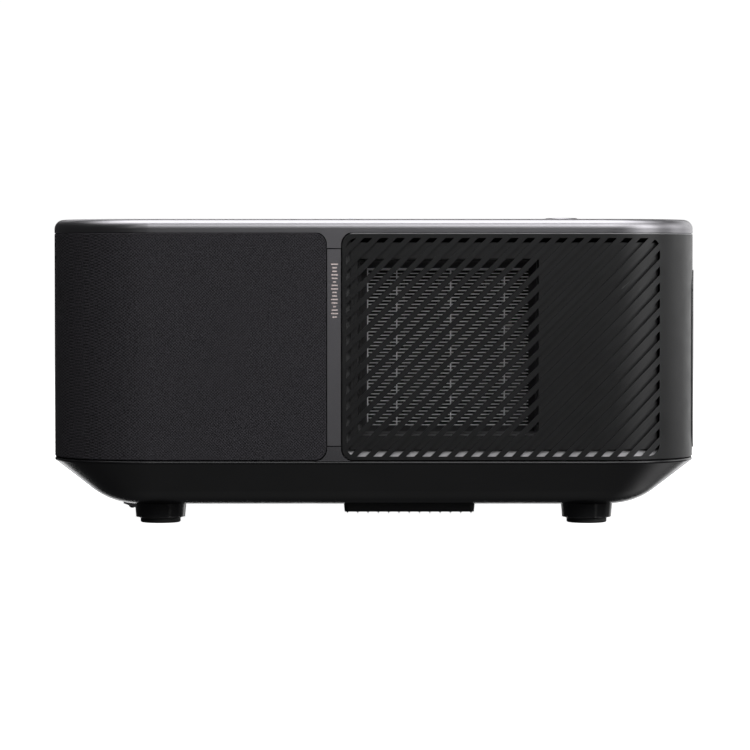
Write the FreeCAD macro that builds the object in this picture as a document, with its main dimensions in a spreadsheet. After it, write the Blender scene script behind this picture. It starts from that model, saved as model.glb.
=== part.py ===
import FreeCAD, Part

import math
import os
import re

import Sketcher
from FreeCAD import Rotation, Vector

# A home projector: a graphite casing (lid, base and pillars), a cloth speaker wrap round the front,
# slatted grilles round the rear corners, and the optics, cooling, electronics and speakers inside.
# Frame: +Z up from the floor, the lens looks along -X, the exhaust grille is on the -Y side.

# alias, value in millimetres (or a count, or degrees), meaning
DIMENSIONS = [
    ("body_length", 270, "casing, front to rear"),
    ("body_width", 222, "casing, side to side"),
    ("corner_radius", 42, "plan radius of the casing's corners"),
    ("sole_level", 8.2, "underside of the base above the floor"),
    ("band_level", 28, "top edge of the base"),
    ("lid_level", 122.5, "lower edge of the lid"),
    ("top_level", 128, "top of the lid"),
    ("shell", 2.4, "wall of the lid and base"),
    ("slope_run", 23.9, "base slope, measured inwards"),
    ("slope_rise", 18.7, "base slope, measured upwards"),
    ("keel_round", 30, "rounding where the slope meets the underside"),
    ("lid_round", 3.9, "rounding of the lid's top edge"),
    ("proud", 0.4, "how far the fascia and port panel stand out"),
    ("panel_gap", 0.3, "line round the cloth wrap and grilles"),
    ("panel_round", 5, "corner radius of the cloth wrap and grilles"),
    ("pillar_front", -19.2, "front edge of the pillars"),
    ("pillar_rear", -13.4, "rear edge of the pillars"),
    ("pillar_wall", 2.6, "thickness of the pillars"),
    ("strip_low", 34, "lower end of the accent strip"),
    ("strip_high", 115.9, "upper end of the accent strip"),
    ("cloth", 0.7, "speaker cloth"),
    ("carrier", 3.2, "inner face of the cloth's carrier, from the outline"),
    ("grille_wall", 1.4, "thickness of the grilles"),
    ("seam_y", 66, "where the grilles meet the rear panel"),
    ("field_front", -11.3, "front end of the slotted field"),
    ("field_rear", 118.7, "rear end of the slotted field"),
    ("field_low", 29.9, "lower end of the slotted field"),
    ("field_high", 120.1, "upper end of the slotted field"),
    ("slot_pitch", 6.715, "slot spacing along X"),
    ("slot_width", 2.5, "slot width across its length"),
    ("slot_phase", 2.4, "first slot, along X from the field's corner"),
    ("baffle_out", 1.6, "outer face of the baffle's rim, from the outline"),
    ("baffle_face", 1.7, "outer face of the baffle's raised part, from the outline"),
    ("baffle_floor", 4.6, "outer face of the baffle's floor, from the outline"),
    ("baffle_in", 6.2, "inner face of the baffle, from the outline"),
    ("rail_in", 12, "inner face of the chassis rails, from the outline"),
    ("chassis_out", 4.4, "outer face of the chassis wall, from the outline"),
    ("chassis_in", 6.4, "inner face of the chassis wall, from the outline"),
    ("chassis_low", 28.3, "lower end of the chassis"),
    ("chassis_high", 122.1, "upper end of the chassis"),
    ("stack_x", 30.8, "centre of the fin stack and the fans"),
    ("stack_z", 75.03, "height of the fin stack's centre"),
    ("fan_z", 73.6, "height of the fans' centres"),
    ("stack_wide", 67, "fin stack, front to rear"),
    ("stack_tall", 65.34, "fin stack, height"),
    ("stack_deep", 26, "fin stack, depth"),
    ("fin_pitch", 1.43, "fin spacing"),
    ("fin_thick", 0.4, "fin thickness"),
    ("fan_side", 70, "square side of the fans"),
    ("fan_thick", 15, "thickness of the fans"),
    ("hub_radius", 12.5, "fan hub"),
    ("blade_tip", 32.4, "fan blade tips"),
    ("fan_bore", 33.2, "fan frame's bore"),
    ("shaft", 1.5, "fan and focus screw shafts"),
    ("running", 0.05, "radial clearance of a shaft"),
    ("optic_z", 75.5, "height of the optical axis"),
    ("cell_radius", 24, "moving lens cell"),
    ("screw_y", 34.5, "focus screw, sideways from the optical axis"),
    ("cold_z", 32.5, "centre of the heat pipes' level runs"),
    ("pipe_rise", 73, "height of the heat pipes above their level runs"),
    ("pipe_y", -85, "upright part of the heat pipes"),
    ("pipe_bend", 6.9, "bend radius of the heat pipes"),
    ("pipe_radius", 3, "heat pipes"),
    ("foot_x", 90.4, "feet, from the centre"),
    ("foot_y", 69, "feet, from the centre"),
    ("foot_radius", 10.9, "top radius of a foot"),
    ("pad_radius", 8.5, "rubber pad of a foot"),
    ("pad_height", 2.4, "how far the pad shows below the foot"),
    ("foot_seat", 4.6, "face inside a foot that its screw bears on, less the screw's head"),
    ("anchor_x", 62, "base screws, from the centre"),
    ("anchor_y", 66, "base screws, from the centre"),
    ("ear_x", 60, "chassis ears, from the centre"),
    ("ear_y", 94, "chassis ears, from the centre"),
    ("filter_x", 15.1, "centre of the intake filter"),
    ("filter_y", -41, "centre of the intake filter"),
    ("filter_long", 55.4, "filter cover along X"),
    ("filter_wide", 70, "filter cover along Y"),
    ("rib_pitch", 4.36, "spacing of the filter cover's ribs"),
    ("hinge_x", -104.6, "tilt stand's hinge line"),
    ("hinge_z", 5.5, "height of the tilt stand's hinge line"),
    ("stand_reach", 36.6, "tilt stand, from the middle to each side"),
    ("pin_radius", 1, "tilt stand's pin"),
    ("button_x", 83.2, "power button"),
    ("button_radius", 7.4, "power button"),
    ("button_rise", 1.8, "how far the power button stands above the lid"),
    ("light_x", -9, "status light"),
    ("light_y", -85, "status light"),
    ("light_rise", 0.6, "how far the status light stands above the lid"),
    ("mark_x", -16.05, "centre of the accent strip's level marks"),
    ("mark_low", 87.5, "lowest level mark"),
    ("mark_pitch", 1.45, "spacing of the level marks"),
    ("speaker_x", -70, "speaker centre"),
    ("speaker_z", 75.5, "speaker centre"),
    ("speaker_face", 102.5, "face of the speaker boxes, from the centre"),
    ("fascia_wide", 116, "front fascia, side to side"),
    ("fascia_tall", 70, "front fascia, height"),
    ("port_wide", 156, "port panel, side to side"),
    ("port_tall", 75, "port panel, height"),
    ("port_z", 69.4, "centre of the port panel"),
    ("board_z", 85.5, "underside of the main board"),
    ("power_z", 20.4, "underside of the power board"),
    ("board_thick", 1.6, "circuit boards"),
    ("tripod_y", 30, "tripod socket"),
    ("tripod_radius", 2.55, "tripod socket, quarter-inch tapping size"),
]

doc = FreeCAD.newDocument("home_projector")
pieces = []


# ---------------------------------------------------------------- sheet and expressions

def make_sheet():
    sheet = doc.addObject("Spreadsheet::Sheet", "dims")
    for row, (alias, value, meaning) in enumerate(DIMENSIONS, start=1):
        sheet.set(f"A{row}", meaning)
        sheet.set(f"B{row}", str(value))
        sheet.setAlias(f"B{row}", alias)
    doc.recompute()
    return sheet


SHEET = make_sheet()
ALIASES = {alias for alias, _, _ in DIMENSIONS}


def linked(text):
    """An expression with its aliases pointed at the sheet."""
    return re.sub(r"[a-z][a-z_]*", lambda m: f"dims.{m[0]}" if m[0] in ALIASES else m[0], str(text))


def size(text):
    """The present value of an expression, in millimetres."""
    return float(SHEET.evalExpression(linked(text)))


def bind(item, **expressions):
    for name, text in expressions.items():
        item.setExpression(name, linked(text))


def place(item, at, turn=None):
    """Puts item at three expressions, turned by a Rotation if one is given."""
    if turn:
        item.Placement = FreeCAD.Placement(Vector(), turn)
    for axis, text in zip("xyz", at):
        if text not in (0, "0"):
            item.setExpression(f"Placement.Base.{axis}", linked(text))
    return item


def piece(item, label):
    """Marks item as a finished sub-part."""
    item.Label = label
    pieces.append(item)
    return item


ALONG_X = Rotation(Vector(0, 1, 0), 90)
ALONG_Y = Rotation(Vector(1, 0, 0), -90)
AGAINST_Y = Rotation(Vector(1, 0, 0), 90)
AXIS_TURN = {"x": ALONG_X, "y": ALONG_Y, "z": None}


# ---------------------------------------------------------------- primitives and booleans

def block(low, high, name="block"):
    """A box from one corner to the other, each three expressions."""
    item = doc.addObject("Part::Box", name)
    for side, a, b in zip(("Length", "Width", "Height"), low, high):
        bind(item, **{side: f"({b}) - ({a})"})
    return place(item, low)


def rod(radius, start, length, axis="z", name="rod"):
    """A cylinder that runs along the positive axis from its start."""
    item = doc.addObject("Part::Cylinder", name)
    bind(item, Radius=radius, Height=length)
    return place(item, start, AXIS_TURN[axis])


def cone(start_radius, end_radius, start, length, axis="z", name="cone"):
    item = doc.addObject("Part::Cone", name)
    bind(item, Radius1=start_radius, Radius2=end_radius, Height=length)
    return place(item, start, AXIS_TURN[axis])


def fuse(*items, name="fused"):
    item = doc.addObject("Part::MultiFuse", name)
    item.Shapes = list(items)
    item.Refine = True
    return item


def group(*items, name="group"):
    """Separate solids kept together in one node."""
    item = doc.addObject("Part::Compound", name)
    item.Links = list(items)
    return item


def cut(base, *tools, name="cut"):
    item = doc.addObject("Part::Cut", name)
    item.Base = base
    item.Tool = tools[0] if len(tools) == 1 else fuse(*tools, name="tools")
    return item


def common(first, second, name="common"):
    item = doc.addObject("Part::Common", name)
    item.Base = first
    item.Tool = second
    return item


def mirrored(source, name="mirrored"):
    """The same piece on the other side of the middle plane."""
    item = doc.addObject("Part::Mirroring", name)
    item.Source = source
    item.Normal = Vector(0, 1, 0)
    return item


def both_sides(low, high):
    """One box on each side of the middle plane, for low and high corners given on the +Y side."""
    twin = block((low[0], f"-({high[1]})", low[2]), (high[0], f"-({low[1]})", high[2]))
    return block(low, high), twin


def four(make, x, y):
    """make(x, y) at the four corners of a rectangle about the origin."""
    return [make(f"{sx}{x}", f"{sy}{y}") for sx in ("-", "") for sy in ("-", "")]


# ---------------------------------------------------------------- bodies and sketches

def origin_plane(body, role):
    return next(f for f in body.Origin.OriginFeatures if f.Role == role)


def sketch_on(body, plane, at=("0", "0", "0"), name="outline"):
    """A sketch on one of the body's own planes, moved by three expressions in that plane's axes."""
    sketch = body.newObject("Sketcher::SketchObject", name)
    sketch.AttachmentSupport = (origin_plane(body, plane + "_Plane"), [""])
    sketch.MapMode = "FlatFace"
    for axis, text in zip("xyz", at):
        if text != "0":
            sketch.setExpression(f"AttachmentOffset.Base.{axis}", linked(text))
    return sketch


def constrain(sketch, kind, *where, value):
    index = sketch.addConstraint(Sketcher.Constraint(kind, *where, size(value)))
    sketch.renameConstraint(index, f"{kind}{index}")
    sketch.setExpression(f"Constraints.{kind}{index}", linked(value))


def rounded_rectangle(sketch, wide, tall, radius):
    """A rounded rectangle centred on the sketch's origin."""
    w, h, r = size(wide) / 2, size(tall) / 2, size(radius)
    first = sketch.GeometryCount
    lines = [((-w + r, -h), (w - r, -h)), ((w, -h + r), (w, h - r)),
             ((w - r, h), (-w + r, h)), ((-w, h - r), (-w, -h + r))]
    centres = [(w - r, -h + r), (w - r, h - r), (-w + r, h - r), (-w + r, -h + r)]
    sketch.addGeometry([Part.LineSegment(Vector(*a), Vector(*b)) for a, b in lines], False)
    for i, (x, y) in enumerate(centres):
        circle = Part.Circle(Vector(x, y), Vector(0, 0, 1), r)
        sketch.addGeometry(Part.ArcOfCircle(circle, (i - 1) * math.pi / 2, i * math.pi / 2), False)
    rule = Sketcher.Constraint
    rules = []
    for i in range(4):
        rules.append(rule("Tangent", first + i, 2, first + 4 + i, 1))
        rules.append(rule("Tangent", first + 4 + i, 2, first + (i + 1) % 4, 1))
        rules.append(rule(("Horizontal", "Vertical")[i % 2], first + i))
    rules += [rule("Equal", first + 4, first + 4 + i) for i in (1, 2, 3)]
    rules.append(rule("Symmetric", first + 4, 3, first + 6, 3, -1, 1))
    sketch.addConstraint(rules)
    constrain(sketch, "DistanceX", first + 3, 1, first + 1, 1, value=wide)
    constrain(sketch, "DistanceY", first, 1, first + 2, 1, value=tall)
    constrain(sketch, "Radius", first + 4, value=radius)


def polygon(sketch, points):
    """A closed outline through points, each a pair of expressions from the sketch's origin."""
    corners = [Vector(size(x), size(y)) for x, y in points]
    count = len(corners)
    ends = zip(corners, corners[1:] + corners[:1])
    sketch.addGeometry([Part.LineSegment(a, b) for a, b in ends], False)
    for i, (x, y) in enumerate(points):
        sketch.addConstraint(Sketcher.Constraint("Coincident", i, 2, (i + 1) % count, 1))
        for kind, axis, text in (("DistanceX", -2, x), ("DistanceY", -1, y)):
            if size(text) == 0:
                sketch.addConstraint(Sketcher.Constraint("PointOnObject", i, 1, axis))
            else:
                constrain(sketch, kind, -1, 1, i, 1, value=text)


def pad(body, sketch, length, taper=None, flip=False):
    item = body.newObject("PartDesign::Pad", "pad")
    item.Profile = sketch
    bind(item, Length=length)
    item.Reversed = flip
    if taper:
        bind(item, TaperAngle=taper)
    doc.recompute()
    return item


def dress(body, kind, base, test, **expressions):
    """A fillet or chamfer on the edges of base that pass the test."""
    names = [f"Edge{i}" for i, edge in enumerate(base.Shape.Edges, start=1) if test(edge)]
    item = body.newObject(f"PartDesign::{kind}", kind.lower())
    item.Base = (base, names)
    if "Size2" in expressions:
        item.ChamferType = 1
        item.FlipDirection = True
    bind(item, **expressions)
    doc.recompute()
    return item


def at_level(z):
    """A test for edges that lie flat at a height."""
    level = size(z)
    return lambda edge: abs(edge.BoundBox.ZMin - level) < 1e-3 and abs(edge.BoundBox.ZMax - level) < 1e-3


def slab(plane, wide, tall, radius, at, length, taper=None, flip=False, name="slab"):
    """A rounded rectangle on a plane, padded along the plane's normal."""
    body = doc.addObject("PartDesign::Body", name)
    sketch = sketch_on(body, plane, at)
    rounded_rectangle(sketch, wide, tall, radius)
    pad(body, sketch, length, taper, flip)
    return body


def outline_slab(inset, low, high, name="outline_slab"):
    """The casing's plan outline, drawn in by inset, between two heights."""
    wide, deep = f"body_length - 2 * ({inset})", f"body_width - 2 * ({inset})"
    radius = f"corner_radius - ({inset})"
    return slab("XY", wide, deep, radius, ("0", "0", low), f"({high}) - ({low})", name=name)


def wall(outer, inner, low, high, name="wall"):
    """A band that follows the casing's outline between two insets and two heights."""
    body = doc.addObject("PartDesign::Body", name)
    sketch = sketch_on(body, "XY", ("0", "0", low))
    for inset in (outer, inner):
        wide, deep = f"body_length - 2 * ({inset})", f"body_width - 2 * ({inset})"
        rounded_rectangle(sketch, wide, deep, f"corner_radius - ({inset})")
    pad(body, sketch, f"({high}) - ({low})")
    return body


def turned(points, at, turn=None, rounding=None, name="turned"):
    """A revolved piece from (radius, height) points, with its axis along local Z."""
    body = doc.addObject("PartDesign::Body", name)
    sketch = sketch_on(body, "XZ")
    polygon(sketch, points)
    item = body.newObject("PartDesign::Revolution", "revolution")
    item.Profile = sketch
    item.ReferenceAxis = (sketch, ["V_Axis"])
    item.Angle = 360
    doc.recompute()
    if rounding:
        level, radius = rounding
        dress(body, "Fillet", item, at_level(level), Radius=radius)
    return place(body, at, turn)


FAR = "body_length"  # long enough to pass right through


# ---------------------------------------------------------------- casing

def bay(low_x, high_x, gap):
    """The side view of the cloth wrap's or the grilles' space, right through the casing."""
    wide = f"({high_x}) - ({low_x}) - 2 * {gap}"
    tall = f"lid_level - band_level - 2 * {gap}"
    middle = (f"(({low_x}) + ({high_x})) / 2", "(lid_level + band_level) / 2", f"-{FAR} / 2")
    return slab("XZ", wide, tall, "panel_round", middle, FAR, name="bay")


def front_bay(gap):
    return bay("-body_length", "pillar_front", gap)


def rear_bay(gap):
    return bay("pillar_rear", "body_length", gap)


def pillar_flares(low, high):
    """Where a pillar widens between the panels' round corners, on both sides."""
    x_low, x_high = "pillar_front - panel_round", "pillar_rear + panel_round"
    inner = "body_width / 2 - pillar_wall"
    sides = both_sides((x_low, inner, low), (x_high, "body_width / 2", high))
    return cut(group(*sides), front_bay("0"), rear_bay("0"), name="flares")


def ear_posts(low, high):
    """Posts that the chassis ears screw to."""
    return four(lambda x, y: rod("3.2", (x, y, low), f"({high}) - ({low})"), "ear_x", "ear_y")


def base_outer():
    body = doc.addObject("PartDesign::Body", "base_outer")
    sketch = sketch_on(body, "XY", ("0", "0", "sole_level"))
    rounded_rectangle(sketch, "body_length", "body_width", "corner_radius")
    top = pad(body, sketch, "band_level - sole_level")
    slope = dress(body, "Chamfer", top, at_level("sole_level"), Size="slope_run", Size2="slope_rise")
    keel = dress(body, "Fillet", slope, at_level("sole_level"), Radius="keel_round")
    hip = dress(body, "Fillet", keel, at_level("sole_level + slope_rise"), Radius="0.7")
    dress(body, "Fillet", hip, at_level("band_level"), Radius="0.7")
    return body


def base_cavity():
    body = doc.addObject("PartDesign::Body", "base_cavity")
    sketch = sketch_on(body, "XY", ("0", "0", "sole_level + shell"))
    rounded_rectangle(sketch, "body_length - 2 * shell", "body_width - 2 * shell", "corner_radius - shell")
    top = pad(body, sketch, "band_level - sole_level")
    level = at_level("sole_level + shell")
    slope = dress(body, "Chamfer", top, level, Size="slope_run - 1.6", Size2="slope_rise - 1.2")
    dress(body, "Fillet", slope, level, Radius="keel_round - shell")
    return body


def base_pan():
    outer = base_outer()
    posts = common(group(*ear_posts("12", "chassis_low")), outer)
    inside = "sole_level + 1"
    foot_bosses = four(lambda x, y: rod("5", (x, y, inside), "4.8"), "foot_x", "foot_y")
    anchors = four(lambda x, y: rod("4.5", (x, y, inside), "5"), "anchor_x", "anchor_y")
    tripod = rod("9", ("0", "tripod_y", inside), "10")
    solid = fuse(cut(outer, base_cavity()), posts, *foot_bosses, *anchors, tripod,
                 pillar_flares("band_level", "strip_low"))
    holes = four(lambda x, y: rod("1.55", (x, y, "4"), "9"), "foot_x", "foot_y")
    holes += four(lambda x, y: rod("1.6", (x, y, "4"), "12"), "anchor_x", "anchor_y")
    holes += four(lambda x, y: rod("3.2", (x, y, "4"), "sole_level + 1.8 - 4"), "anchor_x", "anchor_y")
    holes += four(lambda x, y: rod("1.5", (x, y, "17"), "12"), "ear_x", "ear_y")
    socket = rod("6", ("0", "tripod_y", "sole_level - 1"), "11")
    window = slab("XY", "46", "60", "3", ("filter_x", "filter_y", "4"), "10")
    piece(cut(solid, *holes, socket, window), "base_pan")
    insert = cut(rod("6", ("0", "tripod_y", "sole_level + 0.4"), "9.6"),
                 rod("tripod_radius", ("0", "tripod_y", "sole_level + 0.4"), "8.6"))
    piece(insert, "tripod_insert")


def lid():
    body = doc.addObject("PartDesign::Body", "lid_outer")
    sketch = sketch_on(body, "XY", ("0", "0", "lid_level"))
    rounded_rectangle(sketch, "body_length", "body_width", "corner_radius")
    top = pad(body, sketch, "top_level - lid_level")
    dress(body, "Fillet", top, at_level("top_level"), Radius="lid_round")
    ceiling = "top_level - shell"
    cavity = outline_slab("shell", "lid_level - 1", ceiling)
    posts = ear_posts("chassis_high", "top_level - 1")
    board_posts = [rod("2.2", ("button_x - 9", y, "lid_level - 7.4"), f"{ceiling} - lid_level + 8")
                   for y in ("-10", "10")]
    lip = wall("0.35", "shell", "lid_level - panel_gap + 0.05", "lid_level")
    solid = fuse(cut(body, cavity), lip, *posts, *board_posts, pillar_flares("strip_high", "lid_level"))
    below = "lid_level - 11"
    holes = four(lambda x, y: rod("1.5", (x, y, below), "13.5"), "ear_x", "ear_y")
    button_hole = rod("button_radius + 0.2", ("button_x", "0", below), "20")
    light_hole = rod("1.05", ("light_x", "light_y", below), "20")
    piece(cut(solid, *holes, button_hole, light_hole), "top_cover")


def level_marks(clearance, outer):
    """Bars of differing length across the strips, like a sound-level scale."""
    marks = []
    for i in range(16):
        half = f"{0.6 + 0.85 * abs(math.sin(0.9 * i + 0.4)):.2f} + {clearance}"
        z = f"mark_low + {i} * mark_pitch"
        marks += both_sides((f"mark_x - ({half})", "body_width / 2 - 0.35", f"{z} - 0.3 - {clearance}"),
                            (f"mark_x + {half}", outer, f"{z} + 0.3 + {clearance}"))
    return marks


def accent_strips():
    sides = both_sides(("pillar_front + 0.1", "body_width / 2 - pillar_wall", "strip_low + 0.4"),
                       ("pillar_rear - 0.1", "body_width / 2 - 0.05", "strip_high - 0.4"))
    piece(cut(group(*sides), group(*level_marks("0", "body_width / 2 + 1"))), "accent_strips")
    piece(group(*level_marks("-0.02", "body_width / 2 - 0.02")), "accent_marks")


def cloth_wrap():
    opening = slab("YZ", "fascia_wide + 0.6", "fascia_tall + 0.6", "12.3",
                   ("0", "optic_z", "-body_length"), FAR)
    cloth = rounded_rim(common(wall("0", "cloth", "band_level", "lid_level"), front_bay("panel_gap")), 0.4)
    piece(cut(cloth, opening), "speaker_cloth")
    slots = []
    for i in range(6):
        middle = (f"speaker_x + {12 * i - 30}", "speaker_z", f"-{FAR} / 2")
        slots.append(slab("XZ", "8", "60", "3.9", middle, FAR))
    carrier = common(wall("cloth", "carrier", "band_level", "lid_level"), front_bay("panel_gap"))
    piece(cut(carrier, opening, *slots), "speaker_carrier")


def slot_tools():
    """Long slots at 45 degrees, each a step along X from the last, trimmed to the slotted field."""
    first = "field_front - field_high + slot_phase"
    count = math.ceil((size("field_rear - field_low") - size(first)) / size("slot_pitch")) + 1
    slots = []
    for i in range(count):
        slot = doc.addObject("Part::Box", "slot")
        bind(slot, Length="170", Width="20", Height="slot_width")
        start_x = f"{first} + {i} * slot_pitch + field_low - 10 + slot_width / 2 * sqrt(2) / 2"
        start_z = "field_low - 10 - slot_width / 2 * sqrt(2) / 2"
        slots.append(place(slot, (start_x, "-body_width / 2 - 1", start_z), Rotation(Vector(0, 1, 0), -45)))
    middle = ("(field_front + field_rear) / 2", "(field_low + field_high) / 2", "80")
    wide, tall = "field_rear - field_front", "field_high - field_low"
    field = slab("XZ", wide, tall, "4.5", middle, "40", name="field")
    return common(field, group(*slots, name="slots"), name="trimmed_slots")


def rear_wrap():
    side = block(("-body_length", "-body_width", "0"), ("body_length", "-seam_y - 0.1", "top_level"))
    shell = common(wall("0", "grille_wall", "band_level", "lid_level"), rear_bay("panel_gap"))
    edged = rounded_rim(common(shell, side), 0.5)
    groove = common(cut(rear_bay("panel_gap + 0.8"), rear_bay("panel_gap + 1.3")),
                    wall("-1", "0.55", "band_level", "lid_level"), name="groove")
    window = port_shape("0.2")
    grille = piece(cut(edged, slot_tools(), window, groove), "grille_left")
    piece(mirrored(grille), "grille_right")
    rear = common(wall("0", "grille_wall", "band_level + panel_gap", "lid_level - panel_gap"),
                  block(("100", "-seam_y + 0.1", "0"), ("body_length", "seam_y - 0.1", "top_level")))
    piece(cut(rear, window), "rear_panel")


def port_shape(gap):
    """The port panel's outline from behind, grown by a gap, through the rear half of the casing."""
    wide, tall = f"port_wide + 2 * {gap}", f"port_tall + 2 * {gap}"
    return slab("YZ", wide, tall, f"8 + {gap}", ("0", "port_z", "0"), FAR, name="port_shape")


def inset_of(point):
    """How far a point lies inside the casing's outline, in plan."""
    over_x = abs(point.x) - size("body_length / 2 - corner_radius")
    over_y = abs(point.y) - size("body_width / 2 - corner_radius")
    if over_x > 0 and over_y > 0:
        return size("corner_radius") - math.hypot(over_x, over_y)
    return size("corner_radius") - max(over_x, over_y)


def edge_middle(edge):
    return edge.valueAt((edge.FirstParameter + edge.LastParameter) / 2)


def on_rim(edge):
    """An edge on the casing's outer face, away from the seam with the rear panel."""
    middle = edge_middle(edge)
    return abs(inset_of(middle)) < 1e-3 and abs(abs(middle.y) - size("seam_y + 0.1")) > 0.01


def rounded_rim(source, radius):
    """Rounds the edges of a panel that lie on the casing's outer face."""
    doc.recompute()
    item = doc.addObject("Part::Fillet", "edged")
    item.Base = source
    item.Edges = [(i, radius, radius) for i, edge in enumerate(source.Shape.Edges, start=1) if on_rim(edge)]
    return item


def rim_slope(start, tall, run, flip):
    """The baffle's sloping upper or lower rim, narrowing inwards as it follows the casing's outline."""
    wide, deep = "body_length - 2 * baffle_out", "body_width - 2 * baffle_out"
    slope = slab("XY", wide, deep, "corner_radius - baffle_out", ("0", "0", start), tall,
                 f"-atan(({run}) / {tall})", flip, name="rim_slope")
    return cut(slope, outline_slab("baffle_floor + 0.1", "0", "top_level"))


def baffle():
    """The tray behind a grille, with a window for the fin stack or the intake screen."""
    low, high = "field_low - 1", "field_high + 1"
    floor = wall("baffle_floor", "baffle_in", low, high)
    lower = rim_slope("field_low", "2.8", "1.8", False)
    upper = rim_slope("field_high", "1.9", "baffle_floor - baffle_out", True)
    ledges = [wall("baffle_out", "baffle_in", a, b) for a, b in ((low, "field_low"), ("field_high", high))]
    front = block(("field_front - 1", "-body_width / 2 + pillar_wall + 0.1", low),
                  ("field_front", "-body_width / 2 + baffle_in", high))
    reach = block(("field_front", "-body_width", "0"), ("field_rear + 1.2", "-70", "top_level"))
    ring = common(fuse(floor, lower, upper, *ledges), reach)
    end = common(wall("baffle_out", "baffle_in", low, high),
                 block(("field_rear", "-body_width", "0"), ("field_rear + 1.2", "-70", "top_level")))
    step = block(("field_front - 0.5", "-body_width / 2 + 2.9", "field_low + 2"),
                 ("field_front + 1.9", "-body_width / 2 + baffle_floor + 0.1", "field_high - 1"))
    tray = fuse(ring, common(front, outline_slab("baffle_out", low, high)), end, step)
    drain = block(("field_rear - 0.9", "-body_width", "field_low + 3"),
                  ("field_rear", "-70", "field_high - 3"))
    left = cut(fuse(tray, raised_face()), duct_opening(), drain)
    piece(group(left, mirrored(left)), "grille_baffles")


def raised_face():
    """The baffle's middle, brought out to just behind the slats and carried on a rib above and below."""
    low, high = "field_low + 2.8", "field_high - 1.9"
    plate = wall("baffle_face", "baffle_face + 1.5", low, high)
    ribs = [wall("baffle_face", "baffle_floor + 0.1", a, b)
            for a, b in ((low, f"{low} + 1.4"), (f"{high} - 1.4", high))]
    reach = block(("field_front + 1.8", "-body_width", "0"), ("field_rear - 0.9", "-70", "top_level"))
    return common(fuse(plate, *ribs), reach, name="raised_face")


def duct_opening():
    """A funnel from the baffle's face down to the fin stack's face."""
    run = "3.9"
    wide, tall = f"stack_wide + 2 * {run}", f"stack_tall + 2 * {run}"
    start = "body_width / 2 - baffle_face"
    deep = "12.4 - baffle_face"
    taper = f"-atan({run} / ({deep}))"
    return slab("XZ", wide, tall, "1", ("stack_x", "stack_z", start), deep, taper, flip=True, name="funnel")


def ducts():
    face = "body_width / 2 - baffle_in - 0.05"
    deep = "12.2 - baffle_in"
    middle = ("stack_x", "stack_z", f"{face} - ({deep})")
    outer = slab("XZ", "stack_wide + 12", "stack_tall + 12", "3", middle, deep)
    left = cut(outer, duct_opening(), duct_throat())
    piece(group(left, mirrored(left)), "air_ducts")


def duct_throat():
    return slab("XZ", "stack_wide", "stack_tall", "0.5", ("stack_x", "stack_z", "80"), "40")


def rear_ports_window():
    return slab("YZ", "port_wide - 34", "port_tall - 4", "6", ("0", "port_z", "0"), FAR)


def chassis():
    """The inner frame: a wall behind the cloth and the rear panel, and rails past the grilles."""
    rim = wall("chassis_out", "chassis_in", "chassis_low", "chassis_high")
    low_rail = wall("chassis_out", "rail_in", "chassis_low", "chassis_low + 2.2")
    high_rail = wall("chassis_out", "rail_in", "chassis_high - 2.2", "chassis_high")
    stiles = both_sides(("-24", "body_width / 2 - rail_in", "chassis_low"),
                        ("field_front - 1.4", "body_width / 2 - chassis_out", "chassis_high"))
    ears = []
    for z in ("chassis_low", "chassis_high - 2.2"):
        ears += four(lambda x, y: slab("XY", "10", "13", "3", (x, y, z), "2.2"), "ear_x", "ear_y")
    recess = common(wall("0", "baffle_in + 0.2", "0", "top_level"),
                    block(("field_front - 1.4", "-body_width", "0"),
                          ("field_rear + 1.6", "body_width", "top_level")))
    speaker = slab("XZ", "62", "66", "6", ("speaker_x", "speaker_z", f"-{FAR} / 2"), FAR)
    hood = rod("31", ("-body_length", "0", "optic_z"), FAR, "x")
    sensor = slab("YZ", "16", "36", "4", ("-43", "optic_z", "-body_length"), FAR)
    holes = four(lambda x, y: rod("1.6", (x, y, "0"), FAR), "ear_x", "ear_y")
    frame = cut(fuse(rim, low_rail, high_rail, *stiles), recess, speaker, hood, sensor, rear_ports_window())
    piece(cut(fuse(frame, *ears), *holes), "chassis_frame")


def chassis_plate():
    plate = slab("XY", "226", "172", "24", ("0", "0", "sole_level + 6"), "1.2")
    window = slab("XY", "50", "64", "4", ("filter_x", "filter_y", "0"), "40")
    tripod = rod("9.5", ("0", "tripod_y", "0"), "40")
    holes = four(lambda x, y: rod("1.55", (x, y, "0"), "40"), "anchor_x", "anchor_y")
    piece(cut(plate, window, tripod, *holes), "chassis_plate")


# ---------------------------------------------------------------- fasteners

def screw(x, y, head_z, shank_end, radius="1.5", head="2.8", thick="1.5"):
    """A pan-head screw with a cross slot; head_z is the face the head bears on."""
    up = size(shank_end) > size(head_z)
    low, high = (head_z, shank_end) if up else (shank_end, head_z)
    shank = rod(radius, (x, y, low), f"({high}) - ({low})")
    face = f"({head_z}) - {thick}" if up else head_z
    cap = rod(head, (x, y, face), thick)
    drive_z = face if up else f"{head_z} + {thick} - 0.7"
    slots = [block((f"{x} - {a}", f"{y} - {b}", drive_z), (f"{x} + {a}", f"{y} + {b}", f"{drive_z} + 0.7"))
             for a, b in (("1.6", "0.3"), ("0.3", "1.6"))]
    return cut(fuse(shank, cap), *slots, name="screw")


def fasteners():
    base = four(lambda x, y: screw(x, y, "sole_level + 1.8", "sole_level + 9"), "anchor_x", "anchor_y")
    low = four(lambda x, y: screw(x, y, "chassis_low + 2.2", "18"), "ear_x", "ear_y")
    high = four(lambda x, y: screw(x, y, "chassis_high - 2.2", "lid_level + 2"), "ear_x", "ear_y")
    seat = "foot_seat + 0.9"
    sole = four(lambda x, y: screw(x, y, seat, "12.5", head="3.1", thick="0.9"), "foot_x", "foot_y")
    piece(group(*base, *low, *high, *sole), "screws")


# ---------------------------------------------------------------- feet, stand and filter

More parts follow.
